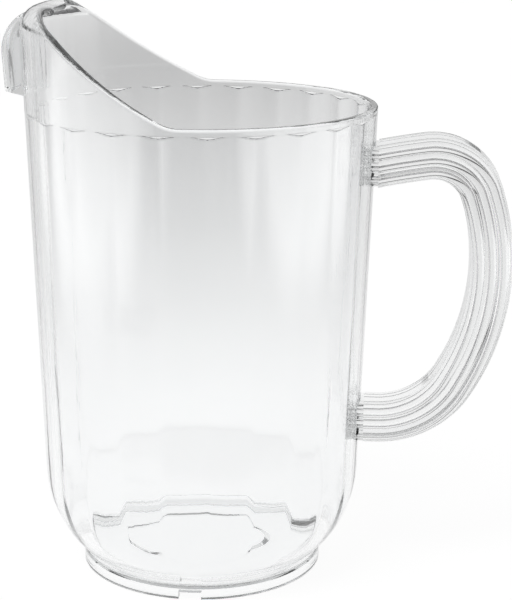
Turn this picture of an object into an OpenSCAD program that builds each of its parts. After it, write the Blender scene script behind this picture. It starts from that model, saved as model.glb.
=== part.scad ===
// Clear beer pitcher: a panelled body with a high hooded front, a hollow pour lip and a beaded D handle.
// Millimetres, +Z up. The origin is the foot's centre on the ground; the lip points to -X, the handle to +X.

/* [Body] */
// Outer radius of the flat rim
rim_r = 65; // [58:0.5:72]
// Height of the flat rim above the ground
rim_h = 178; // [160:1:200]
// Thickness of the wall
wall = 3; // [2:0.1:4]
// Draft of the wall, in degrees from the vertical
wall_draft = 2; // [1:0.1:3]
// Height at which the wall starts to round into the bowl
bowl_h = 38; // [30:0.5:46]
// Thickness of the floor
floor_t = 3.8; // [3:0.1:5]

/* [Foot] */
// Outer radius of the foot ring
foot_r = 46; // [42:0.5:50]
// Height of the foot ring
foot_h = 6; // [4:0.1:7]
// Width of the foot ring's wall
foot_w = 4; // [3:0.1:6]
// Width of the ledge on top of the foot ring
foot_ledge = 1.6; // [0.2:0.1:2.5]
// Height of the hollow under the floor
foot_hollow = 3.2; // [2:0.1:4]
// Width of a drain notch in the foot ring
notch_w = 8.4; // [5:0.1:12]
// Height of a drain notch
notch_h = 3; // [1.5:0.1:4]
// Number of drain notches
notch_count = 1; // [1:1:4]
// Radius of the round recess in the middle of the underside
gate_r = 26; // [18:0.5:32]
// Depth of that recess
gate_depth = 1.2; // [0.6:0.1:1.8]

/* [Panels] */
// Number of panels round the wall
panel_count = 24; // [18:2:30]
// Height of the plain band between the panels and the rim
band_h = 2.6; // [2:0.1:8]
// Width of the crease between two panels
crease_w = 10; // [4:0.1:12]
// Depth of that crease
crease_depth = 0.55; // [0.3:0.05:0.8]
// Height over which a crease runs out at its top
crease_runout = 2; // [1:0.1:4]

/* [Front] */
// Rise from the flat rim to the crest of the hood
crest_rise = 35.5; // [28:0.5:42]
// Outer radius of the hood that turns the top of the front wall inwards
hood_r = 8; // [6:0.1:10]
// Distance from the axis, towards the lip, at which the rim starts to rise
ramp_start = 1.2; // [0:0.1:10]
// Radius of the turn from the flat rim into the ramp
ramp_turn_r = 16; // [8:0.5:24]
// Slope at which that turn ends, in degrees
ramp_slope = 27; // [22:0.5:30]
// Radius of the hollow curve of the ramp
ramp_r = 190; // [150:1:240]

/* [Pour lip] */
// Width of the lip
lip_w = 24; // [16:0.5:32]
// Reach of the lip past the front wall
lip_reach = 6; // [4:0.1:9]
// Radius of the lip's round top
lip_r = 16; // [12:0.5:20]
// How far the lip's round top stays below the crest
lip_set = 0.8; // [0.4:0.1:2]
// Depth from the crest to the underside of the lip
lip_drop = 31; // [26:0.5:36]
// How far the lip's front face leans back to its lower edge
lip_lean = 1; // [0:0.1:3]
// Slope of the lip's lower edge down to the wall, in degrees
lip_edge_slope = 14; // [5:1:20]
// Thickness of the lip's front shell
lip_shell = 2.7; // [2:0.1:3.5]
// Thickness of the lip's cheeks
lip_cheek = 2.4; // [1.8:0.1:3]

/* [Handle] */
// Size of the grip from its inner to its outer face
grip_t = 15.7; // [12:0.1:18]
// Width of the grip across its beads
grip_w = 19.2; // [16:0.1:22]
// Number of beads along each side of the grip
bead_count = 3; // [2:1:3]
// Spacing of the beads
bead_pitch = 4.4; // [4:0.1:4.8]
// Radius of a bead, over half of the spacing
bead_r = 2.6; // [2.5:0.1:3]
// Height of the upper arm's middle where it meets the body
upper_arm_h = 156.4; // [148:0.1:162]
// Rise of the upper arm at the body, in degrees
upper_arm_rise = 12.1; // [6:0.1:16]
// Middle radius of the upper arm's slight curve
upper_arm_r = 260; // [200:5:320]
// Turn of the upper arm, in degrees
upper_arm_turn = 4; // [3:0.1:7]
// Middle radius of the upper corner
upper_corner_r = 18.5; // [15:0.1:24]
// Turn of the upper corner, in degrees
upper_corner_turn = 79.4; // [75:0.1:84]
// Middle radius of the long curve of the grip
grip_r = 87.4; // [76:0.1:100]
// Turn of the long curve, in degrees
grip_turn = 49.8; // [45:0.1:54]
// Middle radius of the lower corner
lower_corner_r = 33.3; // [28:0.1:40]
// How far the pads for the handle stand out from the wall
pad_t = 1.4; // [0.8:0.1:3]
// How far a pad stays inside the outline of the handle's end
pad_inset = 0.5; // [0.2:0.1:1]

/* [Hidden] */
$fn = 96;

clear_tint = [0.92, 0.94, 0.95, 0.35];
crest_h = rim_h + crest_rise;
reach = 2 * crest_h;

// Outer radius of the straight wall at a height, and the wall's outward normal in the profile plane
function wall_r(z) = rim_r + (z - rim_h) * tan(wall_draft);
wall_normal = [cos(wall_draft), -sin(wall_draft)];

// How far a rounded corner runs past the straight line that it blends into, so that no step is left
blend = 0.02;

// The bowl's arc blends into the wall and ends on the ledge of the foot ring
bowl_top = [wall_r(bowl_h), bowl_h];
bowl_span = bowl_top - [foot_r - foot_ledge, foot_h];
bowl_r = (bowl_span * bowl_span) / (2 * bowl_span * wall_normal);
bowl_centre = bowl_top - bowl_r * wall_normal;
floor_h = foot_hollow + floor_t;

// The hood's arc blends into the wall and into the level of the crest
hood_h = crest_h - hood_r * (1 + sin(wall_draft));
hood_centre = [wall_r(hood_h), hood_h] - hood_r * wall_normal;

// Tangent point of the ramp's two arcs in the XZ plane
ramp_joint = [-ramp_start - ramp_turn_r * sin(ramp_slope), rim_h + ramp_turn_r * (1 - cos(ramp_slope))];
ramp_centre = ramp_joint + ramp_r * [sin(ramp_slope), cos(ramp_slope)];

// Front face of the lip and the centre of its round top
lip_x = -wall_r(hood_h) - lip_reach;
lip_centre = [lip_x + lip_r, crest_h - lip_set - lip_r];
lip_low = [lip_x + lip_lean, crest_h - lip_drop];

// Arcs along the middle of the handle, each tangent to the one before: start point, start heading and centre
function arc_centre(start, heading, r) = start + r * [sin(heading), -cos(heading)];
function arc_end(centre, heading, r) = centre + r * [-sin(heading), cos(heading)];
upper_pad_x = wall_r(upper_arm_h) + pad_t;
arm_start = [upper_pad_x, upper_arm_h];
arm_centre = arc_centre(arm_start, upper_arm_rise, upper_arm_r);
corner_heading = upper_arm_rise - upper_arm_turn;
corner_start = arc_end(arm_centre, corner_heading, upper_arm_r);
corner_centre = arc_centre(corner_start, corner_heading, upper_corner_r);
grip_heading = corner_heading - upper_corner_turn;
grip_start = arc_end(corner_centre, grip_heading, upper_corner_r);
grip_centre = arc_centre(grip_start, grip_heading, grip_r);
lower_heading = grip_heading - grip_turn;
lower_start = arc_end(grip_centre, lower_heading, grip_r);
lower_centre = arc_centre(lower_start, lower_heading, lower_corner_r);
lower_end = [lower_centre[0], lower_centre[1] - lower_corner_r];
lower_arm_h = lower_end[1];
lower_pad_x = wall_r(lower_arm_h) + pad_t;
// Turn of the upper arm that runs on past the pad before it is cut square
root_turn = 1;

// Half profile of everything inside the wall's outer face, moved inwards by the inset
module vessel_profile(inset) {
    bottom = inset > 0 ? floor_h : foot_h;
    top = crest_h - inset;
    intersection() {
        polygon([[0, bottom], [wall_r(bottom) - inset, bottom], [wall_r(top) - inset, top], [0, top]]);
        union() {
            translate(bowl_centre) circle(r = bowl_r - inset + blend);
            translate([0, bowl_h]) square([2 * rim_r, hood_h - bowl_h]);
            translate([0, bowl_h]) square([hood_centre[0], crest_h - bowl_h]);
            translate(hood_centre) circle(r = hood_r - inset + blend);
        }
    }
}

// Everything above the flat rim and the ramp, as a slab across the body
module above_rim() {
    rotate([90, 0, 0]) linear_extrude(height = 4 * rim_r, center = true) {
        translate([-ramp_start, rim_h]) square([2 * rim_r, reach]);
        translate([-ramp_start, rim_h + ramp_turn_r]) circle(r = ramp_turn_r);
        translate([-ramp_start - ramp_turn_r, rim_h + ramp_turn_r]) square([2 * rim_r, reach]);
        intersection() {
            translate(ramp_centre) circle(r = ramp_r, $fn = 360);
            translate([ramp_joint[0] - 2 * rim_r, rim_h]) square([2 * rim_r, reach]);
        }
    }
}

// V cutter for one crease: it follows the draft and slopes out at its top
module crease_cutter() {
    top = rim_h - band_h;
    depth_out = crease_w / 2;
    slope = (crease_depth - crease_w * crease_w / (8 * rim_r)) / (crease_w / 2);
    translate([wall_r(top), 0, top]) rotate([0, wall_draft, 0]) intersection() {
        translate([0, 0, -rim_h]) linear_extrude(height = 2 * rim_h) polygon([
            [-crease_depth, 0],
            [-crease_depth + slope * crease_w, -crease_w],
            [-crease_depth + slope * crease_w + depth_out, -crease_w],
            [-crease_depth + slope * crease_w + depth_out, crease_w],
            [-crease_depth + slope * crease_w, crease_w]
        ]);
        rotate([90, 0, 0]) linear_extrude(height = 2 * crease_w, center = true) polygon([
            [-crease_depth, -crease_runout],
            [0, 0],
            [2 * depth_out, 0],
            [2 * depth_out, foot_h - rim_h],
            [-crease_depth, foot_h - rim_h]
        ]);
    }
}

// Section of the handle, moved inwards by the inset: X runs to the outer face, Y across the beads
module grip_section(inset) {
    bead_y = grip_w / 2 - bead_r;
    square([grip_t - 2 * inset, 2 * bead_y], center = true);
    for (side = [-1, 1], i = [0:bead_count - 1])
        translate([(i - (bead_count - 1) / 2) * bead_pitch, side * bead_y]) circle(r = bead_r - inset);
}

// Places its children at p in a coarse and two fine steps, so that neighbouring arcs meet exactly
module place_at(p) {
    coarse = [round(p[0]), round(p[1])];
    fine = [round((p[0] - coarse[0]) * 1000), round((p[1] - coarse[1]) * 1000)] / 1000;
    translate(coarse) translate(fine) translate(p - coarse - fine) children();
}

// Arc of the handle round its centre, drawn in the XZ plane, from one heading to another
module grip_arc(centre, r, from_heading, to_heading) {
    place_at(centre)
        rotate_extrude(angle = from_heading - to_heading, start = 90 + to_heading, $fn = 180)
            translate([r, 0]) grip_section(0);
}

// Pad on the wall that takes one end of the handle, rooted in the wall
module handle_pad(z, face_x) {
    translate([face_x - pad_t - wall, 0, z]) rotate([90, 0, 90]) linear_extrude(height = pad_t + wall)
        rotate(90) grip_section(pad_inset);
}

// Outline of the pour lip in the XZ plane, moved inwards by the inset
module lip_profile(inset) {
    edge_rise = tan(lip_edge_slope);
    back_x = -hood_centre[0];
    intersection() {
        union() {
            translate(lip_centre) circle(r = lip_r - inset);
            polygon([
                [lip_x + inset, lip_centre[1]],
                [lip_low[0] + inset, lip_low[1]],
                [back_x, lip_low[1] - (back_x - lip_low[0]) * edge_rise],
                [back_x, lip_centre[1]]
            ]);
        }
        translate([lip_x, lip_low[1] - lip_drop]) square([back_x - lip_x, 2 * lip_drop]);
    }
}

// The body: wall, bowl, floor, foot ring, hood and handle pads
module body() {
    color(clear_tint) difference() {
        union() {
            difference() {
                rotate_extrude() {
                    vessel_profile(0);
                    square([foot_r, foot_h]);
                }
                for (i = [0:panel_count - 1]) rotate((i + 0.5) * 360 / panel_count) crease_cutter();
            }
            handle_pad(upper_arm_h, upper_pad_x);
            handle_pad(lower_arm_h, lower_pad_x);
        }
        rotate_extrude() vessel_profile(wall);
        above_rim();
        translate([0, 0, -foot_h]) cylinder(r = foot_r - foot_w, h = foot_h + foot_hollow);
        translate([0, 0, foot_hollow - foot_h]) cylinder(r = gate_r, h = foot_h + gate_depth);
        for (i = [0:notch_count - 1]) rotate(i * 360 / notch_count - 90)
            translate([foot_r - foot_w / 2, 0, 0]) cube([2 * foot_w, notch_w, 2 * notch_h], center = true);
    }
}

// The pour lip: a hollow nose, open underneath, seated on the outside of the front wall
module pour_lip() {
    color(clear_tint) difference() {
        rotate([90, 0, 0]) linear_extrude(height = lip_w, center = true) lip_profile(0);
        rotate([90, 0, 0]) linear_extrude(height = lip_w - 2 * lip_cheek, center = true) {
            lip_profile(lip_shell);
            translate([lip_low[0] + lip_shell, lip_low[1] - lip_drop]) square([lip_drop, lip_drop]);
        }
        rotate_extrude() vessel_profile(0);
    }
}

// Everything between the axis and the face of a pad, at the height of one arm of the handle
module behind_pad(z, face_x) {
    translate([face_x - rim_r, 0, z]) cube([2 * rim_r, 2 * grip_w, 2 * grip_t], center = true);
}

// The handle: a chain of arcs and a straight lower arm, cut square at the pads
module handle() {
    color(clear_tint) difference() {
        rotate([90, 0, 0]) {
            grip_arc(arm_centre, upper_arm_r, upper_arm_rise + root_turn, corner_heading);
            grip_arc(corner_centre, upper_corner_r, corner_heading, grip_heading);
            grip_arc(grip_centre, grip_r, grip_heading, lower_heading);
            grip_arc(lower_centre, lower_corner_r, lower_heading, -180);
            place_at(lower_end) rotate([90, 0, -90]) linear_extrude(height = lower_corner_r)
                rotate(90) grip_section(0);
        }
        behind_pad(upper_arm_h, upper_pad_x);
        behind_pad(lower_arm_h, lower_pad_x);
    }
}

body();
pour_lip();
handle();
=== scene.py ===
import bmesh
import bpy
import math
from mathutils import Matrix, Vector


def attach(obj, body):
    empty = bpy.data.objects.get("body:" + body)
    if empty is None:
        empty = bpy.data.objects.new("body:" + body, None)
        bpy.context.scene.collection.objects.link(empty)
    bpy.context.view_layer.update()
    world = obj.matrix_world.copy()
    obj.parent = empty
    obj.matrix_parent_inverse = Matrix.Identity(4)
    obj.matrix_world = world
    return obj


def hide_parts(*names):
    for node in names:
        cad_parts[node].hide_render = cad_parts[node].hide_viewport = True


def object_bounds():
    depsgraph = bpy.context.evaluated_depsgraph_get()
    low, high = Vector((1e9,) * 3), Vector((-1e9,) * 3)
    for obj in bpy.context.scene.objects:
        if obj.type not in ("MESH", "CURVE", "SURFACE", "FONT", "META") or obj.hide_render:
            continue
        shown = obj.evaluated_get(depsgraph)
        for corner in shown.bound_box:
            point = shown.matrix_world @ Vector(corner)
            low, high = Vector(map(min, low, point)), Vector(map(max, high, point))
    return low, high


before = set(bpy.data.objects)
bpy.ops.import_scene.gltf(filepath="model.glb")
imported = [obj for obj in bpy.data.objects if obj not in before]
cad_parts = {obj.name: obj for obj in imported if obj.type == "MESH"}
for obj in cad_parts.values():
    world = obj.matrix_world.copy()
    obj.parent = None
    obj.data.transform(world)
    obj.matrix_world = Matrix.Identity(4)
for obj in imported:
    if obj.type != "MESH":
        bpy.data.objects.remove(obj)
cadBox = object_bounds()
fullTurn = 2 * math.pi
tiny = 1e-6
print("frame loaded:", ", ".join(sorted(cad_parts)))


# drawing a profile in the XZ plane, with +X to the right and +Z up

def vertsOf(parts):
    return [part for part in parts if isinstance(part, bmesh.types.BMVert)]


def startAt(bm, x, z):
    return bmesh.ops.create_vert(bm, co=(x, 0, z))["vert"][0]


def lineTo(bm, vert, x, z, parts=1):
    start = vert.co.copy()
    for step in range(1, parts + 1):
        vert = bmesh.ops.extrude_vert_indiv(bm, verts=[vert])["verts"][0]
        vert.co = start.lerp(Vector((x, 0, z)), step / parts)
    return vert


def arcTo(bm, vert, centre, turn, parts):
    # a positive turn, in degrees, goes round to the left
    made = bmesh.ops.spin(bm, geom=[vert], cent=(centre[0], 0, centre[1]), axis=(0, 1, 0),
                          angle=-math.radians(turn), steps=parts)
    return vertsOf(made["geom_last"])[0]


def angleFrom(centre, x, z):
    return math.degrees(math.atan2(z - centre[1], x - centre[0]))


# making solids and pieces

def spinRound(bm, steps):
    bmesh.ops.spin(bm, geom=bm.verts[:] + bm.edges[:], cent=(0, 0, 0), axis=(0, 0, 1), angle=fullTurn,
                   steps=steps, use_merge=True)
    bmesh.ops.remove_doubles(bm, verts=bm.verts, dist=tiny)


def thicken(bm, by):
    # a closed outline becomes a solid
    face = bmesh.ops.contextual_create(bm, geom=bm.edges[:])["faces"]
    made = bmesh.ops.extrude_face_region(bm, geom=face)
    bmesh.ops.translate(bm, vec=by, verts=vertsOf(made["geom"]))
    bmesh.ops.recalc_face_normals(bm, faces=bm.faces)


def shade(mesh, sharpAngle):
    mesh.shade_smooth()
    mesh.set_sharp_from_angle(angle=math.radians(sharpAngle))


def makePiece(name, bm, sharpAngle=30):
    mesh = bpy.data.meshes.new(name)
    bm.to_mesh(mesh)
    bm.free()
    piece = bpy.data.objects.new(name, mesh)
    bpy.context.scene.collection.objects.link(piece)
    shade(mesh, sharpAngle)
    return piece


def cutOrJoin(piece, tool, operation, sharpAngle):
    change = piece.modifiers.new("change", "BOOLEAN")
    change.operation = operation
    change.object = tool
    change.solver = "EXACT"
    graph = bpy.context.evaluated_depsgraph_get()
    mesh = bpy.data.meshes.new_from_object(piece.evaluated_get(graph))
    piece.modifiers.clear()
    piece.data = mesh
    shade(mesh, sharpAngle)
    bpy.data.objects.remove(tool)


def makeBlock(name, low, high):
    bm = bmesh.new()
    bmesh.ops.create_cube(bm, size=1)
    size = Vector(high) - Vector(low)
    bmesh.ops.scale(bm, vec=size, verts=bm.verts)
    bmesh.ops.translate(bm, vec=(Vector(low) + Vector(high)) / 2, verts=bm.verts)
    return makePiece(name, bm)


def addNode(tree, kind, **values):
    node = tree.nodes.new(kind)
    for name, value in values.items():
        setattr(node, name, value)
    return node


# body: one clear moulding, spun from its profile and then shaped

body = {
    "rimRadius": 0.065, "rimHeight": 0.178, "wall": 0.003, "draft": 2, "rimEdge": 0.001,
    "bowlHeight": 0.038, "floorTop": 0.007,
    "footRadius": 0.046, "footHeight": 0.006, "footWidth": 0.004, "footHollow": 0.0032,
    "footLedge": 0.0016, "footEdge": 0.0006,
    "notchWidth": 0.0084, "notchHeight": 0.003, "notchUnder": 0.003, "notchIn": 0.038, "notchOut": 0.060,
    "gateRadius": 0.026, "gateDepth": 0.0012, "gateSlope": 0.0008,
    "panels": 24, "panelTop": 0.1755, "panelRound": 0.031, "runOutSlope": 0.5, "runOutBand": 0.0019,
    "panelFadeLow": 0.010, "panelFadeHigh": 0.034,
    "crestHeight": cadBox[1].z, "hoodRadius": 0.008, "hoodTurn": 130,
    "rampStart": 0.0012, "rampTurnRadius": 0.016, "rampSlope": 27, "rampRadius": 0.190,
    "stretchFrom": 0.176, "halvings": 40, "columnsPerPanel": 14, "columnGather": 0.45,
    "padThickness": 0.0014, "padInset": 0.0005, "sharpAngle": 35,
}
draft = math.radians(body["draft"])
wallNormal = (math.cos(draft), -math.sin(draft))


def wallRadius(z):
    return body["rimRadius"] + (z - body["rimHeight"]) * math.tan(draft)


def bowlArc():
    # tangent to the wall at the bowl's top, and ends on the ledge of the foot
    topX = wallRadius(body["bowlHeight"])
    spanX = topX - (body["footRadius"] - body["footLedge"])
    spanZ = body["bowlHeight"] - body["footHeight"]
    radius = (spanX ** 2 + spanZ ** 2) / (2 * (spanX * wallNormal[0] + spanZ * wallNormal[1]))
    centre = (topX - radius * wallNormal[0], body["bowlHeight"] - radius * wallNormal[1])
    return radius, centre


bowlRadius, bowlCentre = bowlArc()
hoodHeight = body["crestHeight"] - body["hoodRadius"] * (1 + math.sin(draft))
hoodCentre = (wallRadius(hoodHeight) - body["hoodRadius"] * wallNormal[0],
              hoodHeight - body["hoodRadius"] * wallNormal[1])
midHoodRadius = body["hoodRadius"] - body["wall"] / 2
straightRun = (hoodHeight - body["stretchFrom"]) / math.cos(draft)


def rampHeight(x):
    # height of the rim: flat, then a turn, then the long hollow curve up to the crest
    flat = body["rimHeight"]
    turn = body["rampTurnRadius"]
    slope = math.radians(body["rampSlope"])
    jointX = -body["rampStart"] - turn * math.sin(slope)
    jointZ = flat + turn * (1 - math.cos(slope))
    if x > -body["rampStart"]:
        return flat
    if x > jointX:
        return flat + turn - math.sqrt(turn ** 2 - (x + body["rampStart"]) ** 2)
    centreX = jointX + body["rampRadius"] * math.sin(slope)
    centreZ = jointZ + body["rampRadius"] * math.cos(slope)
    return centreZ - math.sqrt(body["rampRadius"] ** 2 - (x - centreX) ** 2)


def wallMiddle(run):
    # point and outward normal on the middle of the wall, by the run up from the stretched zone's lower edge
    if run < straightRun:
        middle = wallRadius(body["stretchFrom"]) - body["wall"] / 2
        return (middle + run * math.sin(draft), body["stretchFrom"] + run * math.cos(draft)), wallNormal
    turned = (run - straightRun) / midHoodRadius - draft
    normal = (math.cos(turned), math.sin(turned))
    return (hoodCentre[0] + midHoodRadius * normal[0], hoodCentre[1] + midHoodRadius * normal[1]), normal


def runToRim(azimuth):
    # found by halving, as the rim's height depends on the radius there
    low = (body["rimHeight"] - body["stretchFrom"]) / math.cos(draft)
    high = straightRun + math.radians(body["hoodTurn"]) * midHoodRadius
    for step in range(body["halvings"]):
        run = (low + high) / 2
        (radius, z), normal = wallMiddle(run)
        if z < rampHeight(radius * math.cos(azimuth)):
            low = run
        else:
            high = run
    return low


def panelDepth(azimuth, radius):
    # depth below the wall's cone of one rounded panel, deepest at the crease between two panels
    pitch = fullTurn / body["panels"]
    off = azimuth - pitch * round(azimuth / pitch)
    inner = radius - body["panelRound"]
    return radius - inner * math.cos(off) - math.sqrt(body["panelRound"] ** 2 - (inner * math.sin(off)) ** 2)


def panelFade(z):
    share = (z - body["panelFadeLow"]) / (body["panelFadeHigh"] - body["panelFadeLow"])
    share = min(max(share, 0), 1)
    return share * share * (3 - 2 * share)


def isOuterWall(radius, z):
    if z < body["footHeight"] + tiny or z > body["panelTop"]:
        return False
    if z > body["bowlHeight"]:
        return radius > wallRadius(z) - body["wall"] / 2
    away = math.hypot(radius - bowlCentre[0], z - bowlCentre[1])
    return away > bowlRadius - body["wall"] / 2


def drawBodyProfile(bm):
    b = body
    # the underside and the foot
    under = b["footHollow"] + b["gateDepth"]
    footIn = b["footRadius"] - b["footWidth"]
    edge = b["footEdge"]
    line = startAt(bm, 0, under)
    line = lineTo(bm, line, b["gateRadius"], under, parts=6)
    line = lineTo(bm, line, b["gateRadius"] + b["gateSlope"], b["footHollow"], parts=2)
    line = lineTo(bm, line, footIn, b["footHollow"], parts=4)
    line = lineTo(bm, line, footIn, edge, parts=2)
    line = arcTo(bm, line, (footIn + edge, edge), 90, parts=4)
    line = lineTo(bm, line, b["footRadius"] - edge, 0, parts=3)
    line = arcTo(bm, line, (b["footRadius"] - edge, edge), 90, parts=4)
    line = lineTo(bm, line, b["footRadius"], b["footHeight"] - edge, parts=3)
    line = arcTo(bm, line, (b["footRadius"] - edge, b["footHeight"] - edge), 90, parts=4)
    line = lineTo(bm, line, b["footRadius"] - b["footLedge"], b["footHeight"])
    # up the outside, with fine rows where the creases end
    startTurn = angleFrom(bowlCentre, b["footRadius"] - b["footLedge"], b["footHeight"])
    line = arcTo(bm, line, bowlCentre, -b["draft"] - startTurn, parts=26)
    fineFrom = b["panelTop"] - b["runOutBand"]
    line = lineTo(bm, line, wallRadius(fineFrom), fineFrom, parts=14)
    line = lineTo(bm, line, wallRadius(b["stretchFrom"]), b["stretchFrom"], parts=20)
    # over the rim
    rimEdge = b["rimEdge"]
    low = b["rimHeight"] - rimEdge
    inX = wallRadius(low) - b["wall"] + rimEdge
    line = lineTo(bm, line, wallRadius(low), low, parts=28)
    line = arcTo(bm, line, (wallRadius(low) - rimEdge, low), 90, parts=5)
    line = lineTo(bm, line, inX, b["rimHeight"], parts=2)
    line = arcTo(bm, line, (inX, low), 90, parts=5)
    # down the inside to the middle of the floor
    line = lineTo(bm, line, wallRadius(b["stretchFrom"]) - b["wall"], b["stretchFrom"], parts=28)
    line = lineTo(bm, line, wallRadius(b["bowlHeight"]) - b["wall"], b["bowlHeight"], parts=12)
    innerBowl = bowlRadius - b["wall"]
    floorTurn = math.degrees(math.asin((b["floorTop"] - bowlCentre[1]) / innerBowl))
    line = arcTo(bm, line, bowlCentre, floorTurn + b["draft"], parts=18)
    lineTo(bm, line, 0, b["floorTop"], parts=10)


def shapeBody(bm):
    b = body
    runs = {}
    keep = b["rimEdge"]
    for vert in bm.verts:
        x, y, z = vert.co
        radius = math.hypot(x, y)
        if radius < tiny:
            continue
        azimuth = math.atan2(y, x)
        # columns gather at the creases
        azimuth -= b["columnGather"] * math.sin(b["panels"] * azimuth) / b["panels"]
        if z > b["stretchFrom"] - tiny:
            # the rim is stretched up to the ramp and the hood, and keeps its rounded edge
            key = round(azimuth, 6)
            if key not in runs:
                runs[key] = runToRim(azimuth)
            below = b["rimHeight"] - z
            side = radius - (wallRadius(z) - b["wall"] / 2)
            share = (z - b["stretchFrom"]) / (b["rimHeight"] - keep - b["stretchFrom"])
            run = runs[key] - below if below < keep else share * (runs[key] - keep)
            (radius, z), normal = wallMiddle(run)
            radius += side * normal[0]
            z += side * normal[1]
        elif isOuterWall(radius, z):
            wall = wallRadius(max(z, b["bowlHeight"]))
            # the crease ends under the rim in a thin ledge
            depth = panelDepth(azimuth, wall) * panelFade(z)
            radius -= min(depth, (b["panelTop"] - z) * b["runOutSlope"])
        vert.co = (radius * math.cos(azimuth), radius * math.sin(azimuth), z)


def makeBody():
    b = body
    bm = bmesh.new()
    drawBodyProfile(bm)
    spinRound(bm, b["panels"] * b["columnsPerPanel"])
    shapeBody(bm)
    bmesh.ops.recalc_face_normals(bm, faces=bm.faces)
    piece = makePiece("clearBody", bm, b["sharpAngle"])
    notch = makeBlock("notchTool", (-b["notchWidth"] / 2, -b["notchOut"], -b["notchUnder"]),
                      (b["notchWidth"] / 2, -b["notchIn"], b["notchHeight"]))
    cutOrJoin(piece, notch, "DIFFERENCE", b["sharpAngle"])
    return piece


# handle: a beaded section swept round a chain of arcs, each with its radius, turn and steps

handle = {
    "thickness": 0.0157, "width": 0.0192, "beads": 3, "beadPitch": 0.0044, "beadRadius": 0.0026,
    "corner": 0.0008, "sunk": 0.00003,
    "upperHeight": 0.1564, "upperRise": 12.1,
    "arcs": [(0.260, 4, 16), (0.0185, 79.4, 56), (0.0874, 49.8, 90), (0.0333, 58.9, 56)],
    "rootTurn": 1, "rootLength": 0.006, "rootBand": 0.015, "sharpAngle": 40,
}


def drawGripSection(bm, inset, heading):
    # drawn flat with X from the inner to the outer face, then stood up across the path
    h = handle
    half = h["thickness"] / 2 - inset
    bead = h["beadRadius"] - inset
    beadY = h["width"] / 2 - h["beadRadius"]
    corner = h["corner"] - inset
    outBead = (h["beads"] - 1) / 2 * h["beadPitch"]
    valley = math.degrees(math.acos(min(h["beadPitch"] / 2 / bead, 1)))
    line = startAt(bm, half, 0)
    for side in (1, -1):
        line = lineTo(bm, line, side * half, side * (beadY - corner), parts=3)
        line = arcTo(bm, line, (side * (half - corner), side * (beadY - corner)), 90, parts=4)
        for i in range(h["beads"]):
            centre = side * (outBead - i * h["beadPitch"])
            begin = 0 if i == 0 else valley
            end = 180 if i == h["beads"] - 1 else 180 - valley
            line = lineTo(bm, line, centre + side * bead * math.cos(math.radians(begin)),
                          side * (beadY + bead * math.sin(math.radians(begin))))
            line = arcTo(bm, line, (centre, side * beadY), end - begin, parts=14)
        line = lineTo(bm, line, -side * (half - corner), side * beadY)
        line = arcTo(bm, line, (-side * (half - corner), side * (beadY - corner)), 90, parts=4)
        line = lineTo(bm, line, -side * half, 0, parts=3)
    bmesh.ops.remove_doubles(bm, verts=bm.verts, dist=tiny)
    quarter = math.radians(90)
    bmesh.ops.rotate(bm, cent=(0, 0, 0), matrix=Matrix.Rotation(quarter, 3, "X"), verts=bm.verts)
    bmesh.ops.rotate(bm, cent=(0, 0, 0), matrix=Matrix.Rotation(-quarter - heading, 3, "Y"), verts=bm.verts)


def arcCentre(start, heading, radius):
    return (start[0] + radius * math.sin(heading), start[1] - radius * math.cos(heading))


def padFace(z):
    # where the handle ends, a hair inside the pad
    return wallRadius(z) + body["padThickness"] - handle["sunk"]


def makeHandle():
    h = handle
    bm = bmesh.new()
    heading = math.radians(h["upperRise"])
    start = (padFace(h["upperHeight"]), h["upperHeight"])
    drawGripSection(bm, 0, heading)
    bmesh.ops.translate(bm, vec=(start[0], 0, start[1]), verts=bm.verts)
    # the sweep begins a little inside the wall
    centre = arcCentre(start, heading, h["arcs"][0][0])
    back = math.radians(h["rootTurn"])
    bmesh.ops.rotate(bm, cent=(centre[0], 0, centre[1]), matrix=Matrix.Rotation(-back, 3, "Y"), verts=bm.verts)
    ring = bm.verts[:] + bm.edges[:]
    for i, (radius, turn, steps) in enumerate(h["arcs"]):
        centre = arcCentre(start, heading, radius)
        angle = math.radians(turn)
        swept = angle + back if i == 0 else angle
        made = bmesh.ops.spin(bm, geom=ring, cent=(centre[0], 0, centre[1]), axis=(0, 1, 0), angle=swept,
                              steps=steps)
        ring = made["geom_last"]
        heading -= angle
        start = (centre[0] - radius * math.sin(heading), centre[1] + radius * math.cos(heading))
    edges = [part for part in ring if isinstance(part, bmesh.types.BMEdge)]
    made = bmesh.ops.extrude_edge_only(bm, edges=edges)
    bmesh.ops.translate(bm, vec=(-h["rootLength"], 0, 0), verts=vertsOf(made["geom"]))
    bmesh.ops.remove_doubles(bm, verts=bm.verts, dist=tiny)
    # both ends are cut square on the pads
    for z in (h["upperHeight"], start[1]):
        x = padFace(z)
        near = [part for part in bm.faces if abs(part.calc_center_median().z - z) < h["rootBand"]
                and part.calc_center_median().x < x + h["rootLength"]]
        parts = near + [e for f in near for e in f.edges] + [v for f in near for v in f.verts]
        bmesh.ops.bisect_plane(bm, geom=list(set(parts)), dist=tiny / 10, plane_co=(x, 0, z),
                               plane_no=(1, 0, 0), clear_inner=True)
    bmesh.ops.holes_fill(bm, edges=bm.edges, sides=0)
    bmesh.ops.recalc_face_normals(bm, faces=bm.faces)
    return makePiece("beadedHandle", bm, h["sharpAngle"]), start[1]


def addPads(piece, lowerHeight):
    # each pad is a slice of the handle's section, a little smaller and rooted in the wall
    root = body["wall"] / 2
    tool = bmesh.new()
    for z in (handle["upperHeight"], lowerHeight):
        bm = bmesh.new()
        drawGripSection(bm, body["padInset"], 0)
        bmesh.ops.translate(bm, vec=(wallRadius(z) - root, 0, z), verts=bm.verts)
        thicken(bm, (body["padThickness"] + root, 0, 0))
        pad = bpy.data.meshes.new("pad")
        bm.to_mesh(pad)
        bm.free()
        tool.from_mesh(pad)
    cutOrJoin(piece, makePiece("padTool", tool), "UNION", body["sharpAngle"])


# pour lip: a hollow nose on the outside of the front wall

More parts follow.
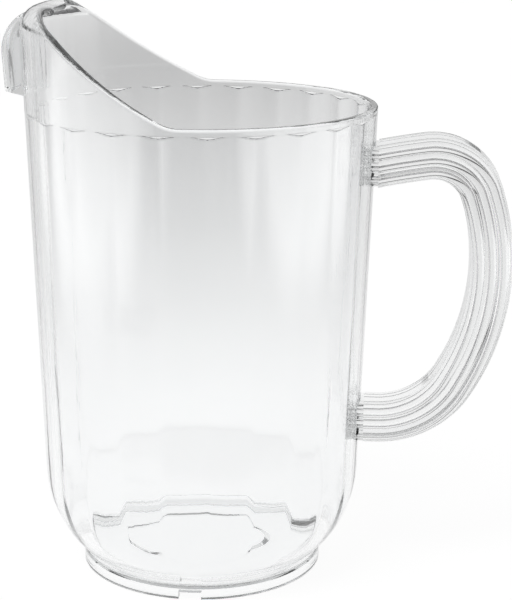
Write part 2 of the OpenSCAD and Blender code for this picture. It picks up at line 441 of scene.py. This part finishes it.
lip = {
    "width": 0.024, "reach": 0.006, "topRadius": 0.016, "set": 0.0008, "drop": 0.031, "lean": 0.001,
    "edgeSlope": 14, "shell": 0.0027, "cheek": 0.0024, "edge": 0.0012, "edgeParts": 4, "sunk": 0.00003,
    "hollowDrop": 0.012, "seatDrop": 0.02, "seatSteps": 360, "sharpAngle": 40,
}


def drawLip(bm, inset, halfWidth):
    # with an inset, the hollow, which runs out below
    frontX = -wallRadius(hoodHeight) - lip["reach"]
    topCentre = (frontX + lip["topRadius"], body["crestHeight"] - lip["set"] - lip["topRadius"])
    backX = -hoodCentre[0]
    lowX = frontX + lip["lean"]
    lowZ = body["crestHeight"] - lip["drop"] - (lip["hollowDrop"] if inset else 0)
    radius = lip["topRadius"] - inset
    topZ = topCentre[1] + math.sqrt(radius ** 2 - (backX - topCentre[0]) ** 2)
    first = startAt(bm, backX, topZ)
    line = arcTo(bm, first, topCentre, 180 - angleFrom(topCentre, backX, topZ), parts=24)
    line = lineTo(bm, line, lowX + inset, lowZ)
    line = lineTo(bm, line, backX, lowZ - (backX - lowX) * math.tan(math.radians(lip["edgeSlope"])))
    bm.edges.new((line, first))
    bmesh.ops.translate(bm, vec=(0, -halfWidth, 0), verts=bm.verts)
    thicken(bm, (0, 2 * halfWidth, 0))


def makeSeatTool():
    # the wall's outer face, a hair smaller, so that the lip sinks into it
    bm = bmesh.new()
    radius = body["hoodRadius"] - lip["sunk"]
    low = body["rimHeight"] - lip["seatDrop"]
    line = startAt(bm, 0, low)
    line = lineTo(bm, line, wallRadius(low) - lip["sunk"], low)
    line = lineTo(bm, line, hoodCentre[0] + radius * wallNormal[0], hoodCentre[1] + radius * wallNormal[1])
    line = arcTo(bm, line, hoodCentre, 90 + body["draft"], parts=24)
    lineTo(bm, line, 0, hoodCentre[1] + radius)
    spinRound(bm, lip["seatSteps"])
    bmesh.ops.recalc_face_normals(bm, faces=bm.faces)
    return makePiece("seatTool", bm)


def isLipEdge(edge):
    # an edge of a cheek, clear of the wall
    a, b = (vert.co for vert in edge.verts)
    onCheek = abs(abs(a.y) - lip["width"] / 2) < tiny and abs(a.y - b.y) < tiny
    return onCheek and max(a.x, b.x) < -hoodCentre[0] - tiny


def makeLip():
    bm = bmesh.new()
    drawLip(bm, 0, lip["width"] / 2)
    bmesh.ops.bevel(bm, geom=[edge for edge in bm.edges if isLipEdge(edge)], offset=lip["edge"],
                    offset_type="OFFSET", segments=lip["edgeParts"], profile=0.5, affect="EDGES", material=-1)
    piece = makePiece("pourLip", bm, lip["sharpAngle"])
    hollow = bmesh.new()
    drawLip(hollow, lip["shell"], lip["width"] / 2 - lip["cheek"])
    cutOrJoin(piece, makePiece("hollowTool", hollow), "DIFFERENCE", lip["sharpAngle"])
    cutOrJoin(piece, makeSeatTool(), "DIFFERENCE", lip["sharpAngle"])
    return piece


bodyPiece = makeBody()
print("body made:", len(bodyPiece.data.polygons), "faces")
handlePiece, lowerHeight = makeHandle()
addPads(bodyPiece, lowerHeight)
print("handle made:", len(handlePiece.data.polygons), "faces")
lipPiece = makeLip()
print("lip made:", len(lipPiece.data.polygons), "faces")


# clear plastic: one finish group, with its own values for each piece

plastic = {
    "ior": 1.57, "shadowColour": (0.93, 0.93, 0.93, 1), "rippleDepth": 0.0006,
    # painted shade: the dark grey that the plastic's colour takes where it is seen edge on
    "edgeShadeColour": (0.30, 0.31, 0.32, 1), "edgeShadeFrom": 0.70, "edgeShadeShare": 0.75,
    "depthColour": (0.0, 0.02, 0.03, 1),
    "flowDetail": 3, "flowFrom": 0.02, "flowFull": 0.06,
    "speckScale": 130, "speckDetail": 6, "speckWarp": 1.5, "wornFrom": 0.56, "wornFull": 0.76,
    "polish": 0.012, "scuffColour": (0.8, 0.82, 0.83, 1),
    "body_plastic": {"colour": (0.985, 0.99, 0.992, 1), "stretch": (170, 170, 3), "ripple": 0.2,
                     "scuffs": 0.05, "loss": 6.0},
    "handle_plastic": {"colour": (0.988, 0.992, 0.993, 1), "stretch": (70, 70, 70), "ripple": 0.01,
                       "scuffs": 0.03, "loss": 2.5},
    "lip_plastic": {"colour": (0.985, 0.99, 0.992, 1), "stretch": (90, 90, 30), "ripple": 0.02,
                    "scuffs": 0.03, "loss": 3.0},
}


def makeFinishGroup():
    # flow lines from moulding as a height, and light scuffs as roughness and a faint tint
    group = bpy.data.node_groups.new("plasticFinish", "ShaderNodeTree")
    for side, sockets in (("INPUT", {"Vector": "NodeSocketVector", "Stretch": "NodeSocketVector",
                                     "Colour": "NodeSocketColor", "Scuffs": "NodeSocketFloat"}),
                          ("OUTPUT", {"Colour": "NodeSocketColor", "Roughness": "NodeSocketFloat",
                                      "Height": "NodeSocketFloat"})):
        for name, kind in sockets.items():
            group.interface.new_socket(name, in_out=side, socket_type=kind)
    given = addNode(group, "NodeGroupInput")
    result = addNode(group, "NodeGroupOutput")
    link = group.links.new
    along = addNode(group, "ShaderNodeVectorMath", operation="MULTIPLY")
    link(given.outputs["Vector"], along.inputs[0])
    link(given.outputs["Stretch"], along.inputs[1])
    flow = addNode(group, "ShaderNodeTexNoise")
    flow.inputs["Scale"].default_value = 1
    flow.inputs["Detail"].default_value = plastic["flowDetail"]
    link(along.outputs["Vector"], flow.inputs["Vector"])
    # the lines fade out towards the foot
    split = addNode(group, "ShaderNodeSeparateXYZ")
    link(given.outputs["Vector"], split.inputs["Vector"])
    aboveFoot = addNode(group, "ShaderNodeMapRange", interpolation_type="SMOOTHSTEP")
    aboveFoot.inputs["From Min"].default_value = plastic["flowFrom"]
    aboveFoot.inputs["From Max"].default_value = plastic["flowFull"]
    link(split.outputs["Z"], aboveFoot.inputs["Value"])
    lines = addNode(group, "ShaderNodeMath", operation="MULTIPLY")
    link(flow.outputs["Fac"], lines.inputs[0])
    link(aboveFoot.outputs["Result"], lines.inputs[1])
    link(lines.outputs["Value"], result.inputs["Height"])
    specks = addNode(group, "ShaderNodeTexNoise")
    specks.inputs["Scale"].default_value = plastic["speckScale"]
    specks.inputs["Detail"].default_value = plastic["speckDetail"]
    specks.inputs["Distortion"].default_value = plastic["speckWarp"]
    link(given.outputs["Vector"], specks.inputs["Vector"])
    worn = addNode(group, "ShaderNodeMapRange", interpolation_type="SMOOTHSTEP")
    worn.inputs["From Min"].default_value = plastic["wornFrom"]
    worn.inputs["From Max"].default_value = plastic["wornFull"]
    link(specks.outputs["Fac"], worn.inputs["Value"])
    dull = addNode(group, "ShaderNodeMath", operation="MULTIPLY")
    link(worn.outputs["Result"], dull.inputs[0])
    link(given.outputs["Scuffs"], dull.inputs[1])
    rough = addNode(group, "ShaderNodeMath", operation="ADD")
    link(dull.outputs["Value"], rough.inputs[0])
    rough.inputs[1].default_value = plastic["polish"]
    link(rough.outputs["Value"], result.inputs["Roughness"])
    tint = addNode(group, "ShaderNodeMix", data_type="RGBA", blend_type="MULTIPLY")
    link(dull.outputs["Value"], tint.inputs["Factor"])
    link(given.outputs["Colour"], tint.inputs[6])
    tint.inputs[7].default_value = plastic["scuffColour"]
    link(tint.outputs[2], result.inputs["Colour"])
    return group


finishGroup = makeFinishGroup()


def makePlastic(name):
    values = plastic[name]
    material = bpy.data.materials.new(name)
    material.use_nodes = True
    tree = material.node_tree
    link = tree.links.new
    output = tree.nodes["Material Output"]
    place = addNode(tree, "ShaderNodeTexCoord")
    finish = addNode(tree, "ShaderNodeGroup", node_tree=finishGroup)
    link(place.outputs["Object"], finish.inputs["Vector"])
    finish.inputs["Stretch"].default_value = values["stretch"]
    finish.inputs["Colour"].default_value = values["colour"]
    finish.inputs["Scuffs"].default_value = values["scuffs"]
    waves = addNode(tree, "ShaderNodeBump")
    waves.inputs["Strength"].default_value = values["ripple"]
    waves.inputs["Distance"].default_value = plastic["rippleDepth"]
    link(finish.outputs["Height"], waves.inputs["Height"])
    shader = tree.nodes["Principled BSDF"]
    shader.inputs["IOR"].default_value = plastic["ior"]
    shader.inputs["Transmission Weight"].default_value = 1
    # where the plastic is seen edge on it looks thicker, and its colour is mixed towards dark grey: partly the
    # real greying of the longer path through it, mostly painted shade for the dark lines at its edges
    facing = addNode(tree, "ShaderNodeLayerWeight")
    edge = addNode(tree, "ShaderNodeMapRange", interpolation_type="SMOOTHSTEP")
    edge.inputs["From Min"].default_value = plastic["edgeShadeFrom"]
    edge.inputs["To Max"].default_value = plastic["edgeShadeShare"]
    link(facing.outputs["Facing"], edge.inputs["Value"])
    paintedEdgeShade = addNode(tree, "ShaderNodeMix", data_type="RGBA")
    link(edge.outputs["Result"], paintedEdgeShade.inputs["Factor"])
    link(finish.outputs["Colour"], paintedEdgeShade.inputs[6])
    paintedEdgeShade.inputs[7].default_value = plastic["edgeShadeColour"]
    link(paintedEdgeShade.outputs[2], shader.inputs["Base Color"])
    link(finish.outputs["Roughness"], shader.inputs["Roughness"])
    link(waves.outputs["Normal"], shader.inputs["Normal"])
    # the shadow is that of a clear object
    through = addNode(tree, "ShaderNodeBsdfTransparent")
    through.inputs["Color"].default_value = plastic["shadowColour"]
    path = addNode(tree, "ShaderNodeLightPath")
    mix = addNode(tree, "ShaderNodeMixShader")
    link(path.outputs["Is Shadow Ray"], mix.inputs[0])
    link(shader.outputs["BSDF"], mix.inputs[1])
    link(through.outputs["BSDF"], mix.inputs[2])
    link(mix.outputs["Shader"], output.inputs["Surface"])
    # light that runs a long way inside the plastic is lost, which draws the dark lines at its edges
    loss = addNode(tree, "ShaderNodeVolumeAbsorption")
    loss.inputs["Color"].default_value = plastic["depthColour"]
    loss.inputs["Density"].default_value = values["loss"]
    link(loss.outputs["Volume"], output.inputs["Volume"])
    return material


for piece, node, slot in ((bodyPiece, "body", "body_plastic"), (handlePiece, "handle", "handle_plastic"),
                          (lipPiece, "pour_lip", "lip_plastic")):
    piece.data.materials.clear()
    piece.data.materials.append(makePlastic(slot))
    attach(piece, "root")
    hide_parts(node)
print("plastic set")


# camera, as fitted to the photograph

camera = {"place": (0.06463, -0.63104, 0.26968), "tilt": 75.244, "turn": 3.995, "roll": 0.41, "lens": 103.57}


def makeCamera():
    data = bpy.data.cameras.new("photoCamera")
    data.lens = camera["lens"]
    item = bpy.data.objects.new("photoCamera", data)
    item.location = camera["place"]
    turn, tilt, roll = (Matrix.Rotation(math.radians(camera[name]), 3, axis)
                        for name, axis in (("turn", "Z"), ("tilt", "X"), ("roll", "Z")))
    item.rotation_euler = (turn @ tilt @ roll).to_euler()
    bpy.context.scene.collection.objects.link(item)
    bpy.context.scene.camera = item


makeCamera()
print("camera set")


# floor, world and lamps

stage = {
    "floorHalf": 6.0, "floorCells": 8, "paper": (0.8, 0.8, 0.8, 1), "white": (1, 1, 1, 1), "glow": 0.9,
    # painted light: the floor's glow as the plastic sees it, a pool brightest at the middle that fades by the
    # distance from it
    "glassReach": 3.0,
    "paintedLightPool": [(0.0, 0.93), (0.2, 0.89), (0.4, 0.77), (0.6, 0.72), (1.2, 0.68), (3.0, 0.63)],
    # painted shade: a soft darker patch on the floor behind the object
    "shade": {"middle": (-0.22, 1.6), "half": (0.5, 1.25), "depth": 0.3},
    # the sky by height, with a dark band at the horizon
    "sky": [(0.0, 0.05), (0.035, 0.1), (0.08, 0.85), (0.4, 0.92), (1.0, 1.0)],
    # painted shade: the floor is painted darker towards the front, behind the camera; the sky dims there as
    # light
    "floorFrontShade": {"dimTo": -0.8, "fullFrom": -0.25, "level": 0.3},
    "skyFront": {"dimTo": -0.7, "fullFrom": -0.2, "level": 0.3},
    "panels": {
        "leftPanel": {"place": (-0.92, -0.44, 0.002), "size": (1.55, 1.90), "level": 2.8},
        "rightPanel": {"place": (0.87, -0.38, 0.002), "size": (1.25, 1.70), "level": 2.5},
    },
    "panelTurn": (180, 0, 0), "panelFull": 0.6, "panelEnd": 0.95,
    "shadowLamp": {"turn": (25, -20, 0), "strength": 0.5, "angle": 30},
    "bounces": 64, "clearBounces": 16,
}


def setRamp(node, stops):
    while len(node.color_ramp.elements) < len(stops):
        node.color_ramp.elements.new(1)
    for element, (position, level) in zip(node.color_ramp.elements, stops):
        element.position = position
        element.color = (level, level, level, 1)


def dimSide(tree, y, level, front):
    # the room is dimmer behind the camera: in the sky this dims the light, and on the floor it is painted
    # shade
    fade = addNode(tree, "ShaderNodeMapRange", interpolation_type="SMOOTHSTEP")
    tree.links.new(y, fade.inputs["Value"])
    fade.inputs["From Min"].default_value = front["dimTo"]
    fade.inputs["From Max"].default_value = front["fullFrom"]
    fade.inputs["To Min"].default_value = front["level"]
    fade.inputs["To Max"].default_value = 1
    dimmed = addNode(tree, "ShaderNodeMath", operation="MULTIPLY")
    tree.links.new(level, dimmed.inputs[0])
    tree.links.new(fade.outputs["Result"], dimmed.inputs[1])
    return dimmed.outputs["Value"]


def makeFloor():
    bm = bmesh.new()
    bmesh.ops.create_grid(bm, x_segments=stage["floorCells"], y_segments=stage["floorCells"],
                          size=stage["floorHalf"])
    floor = makePiece("floor", bm)
    material = bpy.data.materials.new("floorPaper")
    material.use_nodes = True
    tree = material.node_tree
    tree.nodes.remove(tree.nodes["Principled BSDF"])
    link = tree.links.new
    place = addNode(tree, "ShaderNodeTexCoord")
    # painted light: the floor glows brightest near the object and fainter further out, as the plastic sees it
    away = addNode(tree, "ShaderNodeVectorMath", operation="LENGTH")
    link(place.outputs["Object"], away.inputs[0])
    share = addNode(tree, "ShaderNodeMath", operation="DIVIDE")
    link(away.outputs["Value"], share.inputs[0])
    share.inputs[1].default_value = stage["glassReach"]
    ramp = addNode(tree, "ShaderNodeValToRGB")
    setRamp(ramp, [(radius / stage["glassReach"], level) for radius, level in stage["paintedLightPool"]])
    link(share.outputs["Value"], ramp.inputs["Fac"])
    # painted shade: a soft darker patch painted on the floor behind, which shows through the body
    shadePatch = stage["shade"]
    patch = addNode(tree, "ShaderNodeMapping", vector_type="TEXTURE")
    link(place.outputs["Object"], patch.inputs["Vector"])
    patch.inputs["Location"].default_value = (*shadePatch["middle"], 0)
    patch.inputs["Scale"].default_value = (*shadePatch["half"], 1)
    spot = addNode(tree, "ShaderNodeTexGradient", gradient_type="SPHERICAL")
    link(patch.outputs["Vector"], spot.inputs["Vector"])
    dark = addNode(tree, "ShaderNodeMapRange", interpolation_type="SMOOTHSTEP")
    link(spot.outputs["Fac"], dark.inputs["Value"])
    dark.inputs["To Min"].default_value = 1
    dark.inputs["To Max"].default_value = 1 - shadePatch["depth"]
    shaded = addNode(tree, "ShaderNodeMath", operation="MULTIPLY")
    link(ramp.outputs["Color"], shaded.inputs[0])
    link(dark.outputs["Result"], shaded.inputs[1])
    split = addNode(tree, "ShaderNodeSeparateXYZ")
    link(place.outputs["Object"], split.inputs["Vector"])
    # the camera sees an even glow
    path = addNode(tree, "ShaderNodeLightPath")
    pick = addNode(tree, "ShaderNodeMix")
    link(path.outputs["Is Camera Ray"], pick.inputs["Factor"])
    # painted shade: the floor's glow is painted darker towards the front
    link(dimSide(tree, split.outputs["Y"], shaded.outputs["Value"], stage["floorFrontShade"]), pick.inputs["A"])
    pick.inputs["B"].default_value = stage["glow"]
    # the glow lights nothing: it is seen directly, in reflections and through the plastic
    seen = addNode(tree, "ShaderNodeMath", operation="ADD")
    link(path.outputs["Is Camera Ray"], seen.inputs[0])
    link(path.outputs["Is Glossy Ray"], seen.inputs[1])
    also = addNode(tree, "ShaderNodeMath", operation="ADD", use_clamp=True)
    link(seen.outputs["Value"], also.inputs[0])
    link(path.outputs["Is Transmission Ray"], also.inputs[1])
    strength = addNode(tree, "ShaderNodeMath", operation="MULTIPLY")
    link(pick.outputs["Result"], strength.inputs[0])
    link(also.outputs["Value"], strength.inputs[1])
    glow = addNode(tree, "ShaderNodeEmission")
    link(strength.outputs["Value"], glow.inputs["Strength"])
    paper = addNode(tree, "ShaderNodeBsdfDiffuse")
    paper.inputs["Color"].default_value = stage["paper"]
    both = addNode(tree, "ShaderNodeAddShader")
    link(glow.outputs["Emission"], both.inputs[0])
    link(paper.outputs["BSDF"], both.inputs[1])
    link(both.outputs["Shader"], tree.nodes["Material Output"].inputs["Surface"])
    floor.data.materials.append(material)


def makeWorld():
    world = bpy.data.worlds.new("studio")
    bpy.context.scene.world = world
    world.use_nodes = True
    tree = world.node_tree
    link = tree.links.new
    place = addNode(tree, "ShaderNodeTexCoord")
    split = addNode(tree, "ShaderNodeSeparateXYZ")
    link(place.outputs["Generated"], split.inputs["Vector"])
    ramp = addNode(tree, "ShaderNodeValToRGB")
    setRamp(ramp, stage["sky"])
    link(split.outputs["Z"], ramp.inputs["Fac"])
    # the camera sees plain white
    path = addNode(tree, "ShaderNodeLightPath")
    pick = addNode(tree, "ShaderNodeMix")
    link(path.outputs["Is Camera Ray"], pick.inputs["Factor"])
    link(dimSide(tree, split.outputs["Y"], ramp.outputs["Color"], stage["skyFront"]), pick.inputs["A"])
    pick.inputs["B"].default_value = 1
    tree.nodes["Background"].inputs["Color"].default_value = stage["white"]
    link(pick.outputs["Result"], tree.nodes["Background"].inputs["Strength"])
    world.cycles_visibility.diffuse = False


def softenEdges(data, level):
    # a light panel's face, full in the middle and faded out to its edges
    data.use_nodes = True
    tree = data.node_tree
    link = tree.links.new
    face = addNode(tree, "ShaderNodeNewGeometry")
    around = addNode(tree, "ShaderNodeVectorMath", operation="MULTIPLY_ADD")
    link(face.outputs["Parametric"], around.inputs[0])
    around.inputs[1].default_value = (2, 2, 0)
    around.inputs[2].default_value = (-1, -1, 0)
    size = addNode(tree, "ShaderNodeVectorMath", operation="LENGTH")
    link(around.outputs["Vector"], size.inputs[0])
    fade = addNode(tree, "ShaderNodeMapRange", interpolation_type="SMOOTHSTEP")
    link(size.outputs["Value"], fade.inputs["Value"])
    fade.inputs["From Min"].default_value = stage["panelFull"]
    fade.inputs["From Max"].default_value = stage["panelEnd"]
    fade.inputs["To Min"].default_value = level
    fade.inputs["To Max"].default_value = 0
    link(fade.outputs["Result"], tree.nodes["Emission"].inputs["Strength"])


def addLamp(data, turn):
    lamp = bpy.data.objects.new(data.name, data)
    lamp.rotation_euler = [math.radians(angle) for angle in turn]
    lamp.visible_transmission = False
    bpy.context.scene.collection.objects.link(lamp)
    return lamp


def makeLamps():
    # the panels show as reflections alone, and the shadow lamp on the floor alone
    for name, panel in stage["panels"].items():
        data = bpy.data.lights.new(name, "AREA")
        data.shape = "RECTANGLE"
        data.size, data.size_y = panel["size"]
        data.energy = math.pi * data.size * data.size_y
        softenEdges(data, panel["level"])
        lamp = addLamp(data, stage["panelTurn"])
        lamp.location = panel["place"]
        lamp.visible_camera = False
        lamp.visible_diffuse = False
    data = bpy.data.lights.new("shadowLamp", "SUN")
    data.energy = stage["shadowLamp"]["strength"]
    data.angle = math.radians(stage["shadowLamp"]["angle"])
    lamp = addLamp(data, stage["shadowLamp"]["turn"])
    lamp.visible_glossy = False


makeFloor()
makeWorld()
makeLamps()
bpy.context.scene.view_settings.view_transform = "Standard"
cycles = bpy.context.scene.cycles
cycles.max_bounces = stage["bounces"]
cycles.transmission_bounces = stage["bounces"]
cycles.glossy_bounces = stage["bounces"]
cycles.transparent_max_bounces = stage["clearBounces"]
cycles.caustics_reflective = False
cycles.caustics_refractive = False
print("stage set")
